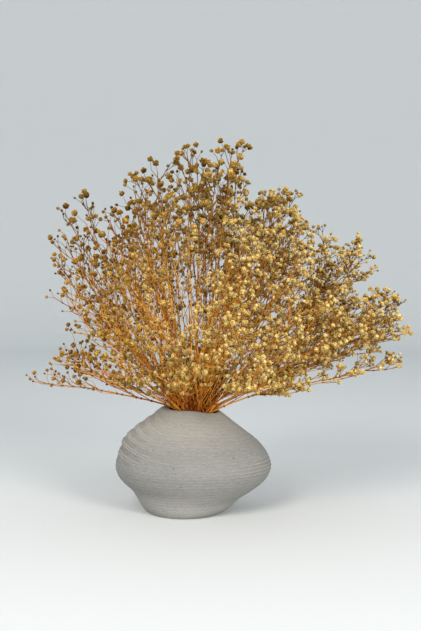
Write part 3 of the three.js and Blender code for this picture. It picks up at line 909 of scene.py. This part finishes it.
def grogged_stoneware():
    """Unglazed stoneware with grog, thrown on a wheel and left matt from the kiln. The eye sees a warm
    grey with paler throwing lines, paler clay towards the foot and dark iron specks. Painted light makes
    the top paler, as if lit from above, and the ridges' crests paler; painted shade darkens their
    grooves."""
    material, tree, surface = new_material("grogged_stoneware")
    place = add(tree, "TexCoord").outputs["Object"]
    parts = add(tree, "SeparateXYZ", {0: place}).outputs
    height = parts["Z"]
    # The clay is clouded in patches about 60 mm wide.
    clouds = add(tree, "TexNoise", {"Vector": place, "Scale": 16, "Detail": 3}).outputs["Fac"]
    clay = add(tree, "Mix", {0: clouds, 6: srgb("#767776"), 7: srgb("#80817f")}, data_type="RGBA")
    # The comb's lines are 2.2 mm apart: a wave texture's band is pi / 10 over its scale. They rise
    # with the clay where it was squeezed.
    comb = add(tree, "Attribute", attribute_name="comb").outputs["Fac"]
    drawn = add(tree, "CombineXYZ", {0: parts["X"], 1: parts["Y"], 2: comb}).outputs[0]
    lines = add(
        tree, "TexWave",
        {"Vector": drawn, "Scale": math.pi / 10 / 0.0022, "Distortion": 5, "Detail": 4,
         "Detail Scale": 2.2},
        bands_direction="Z",
    ).outputs["Fac"]
    # Grog drags under the comb in streaks about 6 mm long and 1.5 mm high.
    dragged = add(tree, "VectorMath", {0: drawn, 1: (170, 170, 640)}, operation="MULTIPLY").outputs[0]
    streaks = add(tree, "TexNoise", {"Vector": dragged, "Scale": 1, "Detail": 4}).outputs["Fac"]
    streak = add(
        tree, "MapRange", {"Value": streaks, "From Min": 0.40, "From Max": 0.64, "To Max": 0.38}
    ).outputs[0]
    # Painted shade and light: the grooves between the potter's ridges are painted darker and their
    # crests paler, as light across them would show.
    crest = add(tree, "Attribute", attribute_name="crest").outputs["Fac"]
    painted_groove_shade = add(
        tree, "MapRange",
        {"Value": crest, "From Min": 0.28, "From Max": 0.5, "To Min": 0.35, "To Max": 0},
    ).outputs[0]
    clay_with_painted_relief = add(
        tree, "Mix", {0: painted_groove_shade, 6: clay.outputs[2], 7: srgb("#74716a")}, data_type="RGBA"
    ).outputs[2]
    # Painted highlight on the ridges' crests.
    top = add(
        tree, "MapRange", {"Value": crest, "From Min": 0.5, "From Max": 0.75, "To Max": 0.38}
    ).outputs[0]
    clay_with_painted_relief = add(tree, "Mix", {0: top, 6: clay_with_painted_relief, 7: srgb("#a8a59c")}, data_type="RGBA").outputs[2]
    faint = add(tree, "Math", {0: lines, 1: streak}, operation="MULTIPLY").outputs[0]
    combed = add(tree, "Mix", {0: faint, 6: clay_with_painted_relief, 7: srgb("#a6a49e")}, data_type="RGBA")
    # Painted light: the top is painted paler, as if lit from above.
    painted_top_light = add(
        tree, "MapRange", {"Value": height, "From Min": 0.085, "From Max": 0.125, "To Max": 0.5}
    ).outputs[0]
    clay_with_painted_top_light = add(
        tree, "Mix", {0: painted_top_light, 6: combed.outputs[2], 7: srgb("#b2afa5")}, data_type="RGBA"
    ).outputs[2]
    # The clay is paler towards the foot.
    paler_foot = add(
        tree, "MapRange", {"Value": height, "From Min": 0.05, "From Max": 0.015, "To Max": 0.4}
    ).outputs[0]
    clay_with_painted_top_light = add(
        tree, "Mix", {0: paler_foot, 6: clay_with_painted_top_light, 7: srgb("#a3a29c")}, data_type="RGBA"
    ).outputs[2]
    # Iron specks up to 1.2 mm across in cells of 3 mm, and a few up to 2 mm across in cells of
    # 15 mm. They are coarser than life, so that they show.
    coloured = clay_with_painted_top_light
    for cell, reach, strength in ((0.0030, 0.24, 0.5), (0.015, 0.085, 0.85)):
        cells = add(tree, "TexVoronoi", {"Vector": place, "Scale": 1 / cell}).outputs["Distance"]
        speck = add(
            tree, "MapRange",
            {"Value": cells, "From Min": reach * 0.6, "From Max": reach, "To Min": strength,
             "To Max": 0},
        ).outputs[0]
        coloured = add(
            tree, "Mix", {0: speck, 6: coloured, 7: srgb("#5d574f")}, data_type="RGBA"
        ).outputs[2]
    tree.links.new(coloured, surface.inputs["Base Color"])
    surface.inputs["Roughness"].default_value = 0.88
    surface.inputs["Specular IOR Level"].default_value = 0.3
    # The grit of the grog is about 1.4 mm across, coarser than life, so that it shows.
    grit = add(tree, "TexNoise", {"Vector": place, "Scale": 700, "Detail": 2}).outputs["Fac"]
    relief = add(tree, "Bump", {"Height": grit, "Strength": 0.5, "Distance": 0.0004})
    relief = add(
        tree, "Bump",
        {"Height": lines, "Strength": 0.22, "Distance": 0.0005, "Normal": relief.outputs[0]},
    )
    tree.links.new(relief.outputs[0], surface.inputs["Normal"])
    return material


def dried_stem():
    """Gypsophila stems dried in the air. The eye sees red-brown and amber bark at the foot of the
    bunch, red-brown and straw-coloured twigs above it, dull brown ones on its outside, and dark
    swollen joints."""
    material, tree, surface = new_material("air_dried_stem")
    place = add(tree, "TexCoord").outputs["Object"]
    from_mouth = add(
        tree, "VectorMath", {0: place, 1: MOUTH * MM}, operation="DISTANCE"
    ).outputs["Value"]
    # Each twig has its own tone, from red-brown to amber at the foot and to straw above it.
    tone = add(tree, "Attribute", attribute_name="tone").outputs["Fac"]
    foot = add(
        tree, "Mix", {0: tone, 6: srgb("#841a00"), 7: srgb("#ffa834")}, data_type="RGBA"
    ).outputs[2]
    upper = add(
        tree, "Mix", {0: tone, 6: srgb("#a84c06"), 7: srgb("#fac04e")}, data_type="RGBA"
    ).outputs[2]
    low = add(tree, "MapRange", {"Value": from_mouth, "From Min": 0.02, "From Max": 0.1}).outputs[0]
    bark = add(tree, "Mix", {0: low, 6: foot, 7: upper}, data_type="RGBA").outputs[2]
    # Blotches about 12 mm long, along and across the stems alike.
    blotches = add(tree, "TexNoise", {"Vector": place, "Scale": 80, "Detail": 3}).outputs["Fac"]
    blotch = add(
        tree, "MapRange", {"Value": blotches, "From Min": 0.42, "From Max": 0.66, "To Max": 0.6}
    ).outputs[0]
    bark = add(tree, "Mix", {0: blotch, 6: bark, 7: srgb("#cf8c38")}, data_type="RGBA").outputs[2]
    high = add(tree, "MapRange", {"Value": from_mouth, "From Min": 0.13, "From Max": 0.30}).outputs[0]
    bark = add(tree, "Mix", {0: high, 6: bark, 7: srgb("#6a4620")}, data_type="RGBA").outputs[2]
    joint = add(tree, "Attribute", attribute_name="joint").outputs["Fac"]
    dark = add(tree, "Math", {0: joint, 1: 0.85}, operation="MULTIPLY").outputs[0]
    bark = add(tree, "Mix", {0: dark, 6: bark, 7: srgb("#3a1c0a")}, data_type="RGBA").outputs[2]
    tree.links.new(bark, surface.inputs["Base Color"])
    surface.inputs["Roughness"].default_value = 0.55
    surface.inputs["Specular IOR Level"].default_value = 0.15
    # The bark's wrinkles are about 0.7 mm apart, coarser than life, so that they show.
    grain = add(tree, "TexNoise", {"Vector": place, "Scale": 1500, "Detail": 1}).outputs["Fac"]
    relief = add(tree, "Bump", {"Height": grain, "Strength": 0.3, "Distance": 0.0002})
    tree.links.new(relief.outputs[0], surface.inputs["Normal"])
    return material


def dried_petals():
    """Papery double flowers dried in the air. The eye sees mustard and straw petals, darker at their
    roots and browner on the outside of the bunch, with a few browned flowers and olive-brown buds.
    The darkening towards the roots and under the flowers is partly the petals' own colour and partly
    painted shade."""
    material, tree, surface = new_material("air_dried_petals")
    place = add(tree, "TexCoord").outputs["Object"]
    edge = add(tree, "Attribute", attribute_name="edge").outputs["Fac"]
    age = add(tree, "Attribute", attribute_name="age").outputs["Fac"]
    # Along "edge", from dark roots to pale edges: partly the petals' own colour, partly painted shade in
    # the gaps and under the flowers.
    fresh = add(
        tree, "Mix", {0: edge, 6: srgb("#84660c"), 7: srgb("#f0e4a4")}, data_type="RGBA"
    ).outputs[2]
    browned = add(
        tree, "Mix", {0: edge, 6: srgb("#442e04"), 7: srgb("#b0a058")}, data_type="RGBA"
    ).outputs[2]
    petal = add(tree, "Mix", {0: age, 6: fresh, 7: browned}, data_type="RGBA").outputs[2]
    # The flowers furthest from the middle of the fuller side dried first and are the brownest.
    outward = add(
        tree, "VectorMath", {0: place, 1: (0.14, 0, 0.24)}, operation="DISTANCE"
    ).outputs["Value"]
    outer = add(tree, "MapRange", {"Value": outward, "From Min": 0.14, "From Max": 0.26}).outputs[0]
    petal = add(
        tree, "Mix", {0: outer, 6: petal, 7: srgb("#ceb886")}, data_type="RGBA", blend_type="MULTIPLY"
    ).outputs[2]
    # Rusty patches about 3 mm across, so that most flowers have an olive and a rusty part.
    patches = add(tree, "TexNoise", {"Vector": place, "Scale": 330, "Detail": 2}).outputs["Fac"]
    rusty = add(
        tree, "MapRange", {"Value": patches, "From Min": 0.42, "From Max": 0.60, "To Max": 0.9}
    ).outputs[0]
    petal = add(
        tree, "Mix", {0: rusty, 6: petal, 7: srgb("#e6b462")}, data_type="RGBA", blend_type="MULTIPLY"
    ).outputs[2]
    tree.links.new(petal, surface.inputs["Base Color"])
    surface.inputs["Roughness"].default_value = 0.75
    surface.inputs["Specular IOR Level"].default_value = 0.1
    # The petals' crinkles are about 0.8 mm apart.
    crinkle = add(tree, "TexNoise", {"Vector": place, "Scale": 1200, "Detail": 2}).outputs["Fac"]
    relief = add(tree, "Bump", {"Height": crinkle, "Strength": 0.4, "Distance": 0.0003})
    tree.links.new(relief.outputs[0], surface.inputs["Normal"])
    return material


def pale_paper():
    """Matt seamless paper, the pale surface and backdrop."""
    material, _, surface = new_material("seamless_paper")
    surface.inputs["Base Color"].default_value = srgb("#ced3d5")
    surface.inputs["Roughness"].default_value = 0.95
    surface.inputs["Specular IOR Level"].default_value = 0.1
    return material


# ---- the object ----
stoneware = grogged_stoneware()
bark = dried_stem()
petals = dried_petals()

vase = make_vase(stoneware)
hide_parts("vase")

blooms = [bloom_mesh(seed) for seed in range(1, BLOOM_VARIANTS + 1)]
bud = bud_mesh()
bract = bract_mesh()
stems = [
    Stem(depth, place, len(row), *spec)
    for depth, row in ROWS
    for place, spec in enumerate(row)
]
for number, stem in enumerate(stems, 1):
    node = f"stem_{number:02}"
    twigs = make_twigs(node + "_twigs", stem, bark)
    flowers = make_blooms(node + "_blooms", stem, blooms, bud, bract, petals)
    for piece in (twigs, flowers):
        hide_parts(node)
for mesh in [*tube_meshes.values(), *blooms, bud, bract]:
    bpy.data.meshes.remove(mesh)


# ---- stage, light and camera, in metres ----
DISH_RADIUS = 2.4
DISH_CORNER = 0.9
DISH_HEIGHT = 2.4
# The camera is level with the upper half of the bunch and looks down a little.
CAMERA_PLACE = (0.03328, -1.2, 0.310)
CAMERA_DIP = 2.851  # in degrees
LENS = 53.49


def make_stage():
    """A round sweep of paper: a level floor that curves up into a wall all round."""
    bm = bmesh.new()
    points = [(0, 0)]
    points += [
        (DISH_RADIUS + DISH_CORNER * math.sin(a), DISH_CORNER * (1 - math.cos(a)))
        for a in (math.radians(6 * k) for k in range(16))
    ]
    points.append((DISH_RADIUS + DISH_CORNER, DISH_HEIGHT))
    vertices = [bm.verts.new((x, 0, z)) for x, z in points]
    edges = [bm.edges.new(pair) for pair in zip(vertices, vertices[1:])]
    bmesh.ops.spin(
        bm, geom=vertices + edges, cent=(0, 0, 0), axis=(0, 0, 1), angle=2 * math.pi, steps=96,
        use_merge=True,
    )
    bmesh.ops.remove_doubles(bm, verts=bm.verts, dist=1e-5)
    bmesh.ops.recalc_face_normals(bm, faces=bm.faces)
    if next(iter(bm.faces)).normal.z < 0:
        bmesh.ops.reverse_faces(bm, faces=bm.faces)
    mesh = bpy.data.meshes.new("floor")
    for face in bm.faces:
        face.smooth = True
    bm.to_mesh(mesh)
    bm.free()
    mesh.materials.append(pale_paper())
    floor = bpy.data.objects.new("floor", mesh)
    bpy.context.collection.objects.link(floor)


def add_soft_light(name, place, target, size, power, colour):
    light = bpy.data.lights.new(name, "AREA")
    light.shape = "DISK"
    light.size = size
    light.energy = power
    light.color = srgb(colour)[:3]
    lamp = bpy.data.objects.new(name, light)
    lamp.location = place
    lamp.rotation_euler = (Vector(target) - Vector(place)).to_track_quat("-Z", "Y").to_euler()
    lamp.visible_camera = False
    bpy.context.collection.objects.link(lamp)


make_stage()
add_soft_light("key_light", (-1.0, -1.9, 1.6), (0.03, 0, 0.22), 1.2, 50, "#fff6ec")
add_soft_light("fill_light", (1.5, -2.0, 1.1), (0.03, 0, 0.1), 1.0, 50, "#fff8f0")

world = bpy.data.worlds.new("studio")
world.use_nodes = True
sky = world.node_tree.nodes["Background"]
sky.inputs["Color"].default_value = srgb("#eef2f6")
sky.inputs["Strength"].default_value = 0.85
bpy.context.scene.world = world
bpy.context.scene.view_settings.view_transform = "Standard"

lens = bpy.data.cameras.new("camera")
lens.lens = LENS
camera = bpy.data.objects.new("camera", lens)
camera.location = CAMERA_PLACE
camera.rotation_euler = (math.radians(90 - CAMERA_DIP), 0, 0)
bpy.context.collection.objects.link(camera)
bpy.context.scene.camera = camera
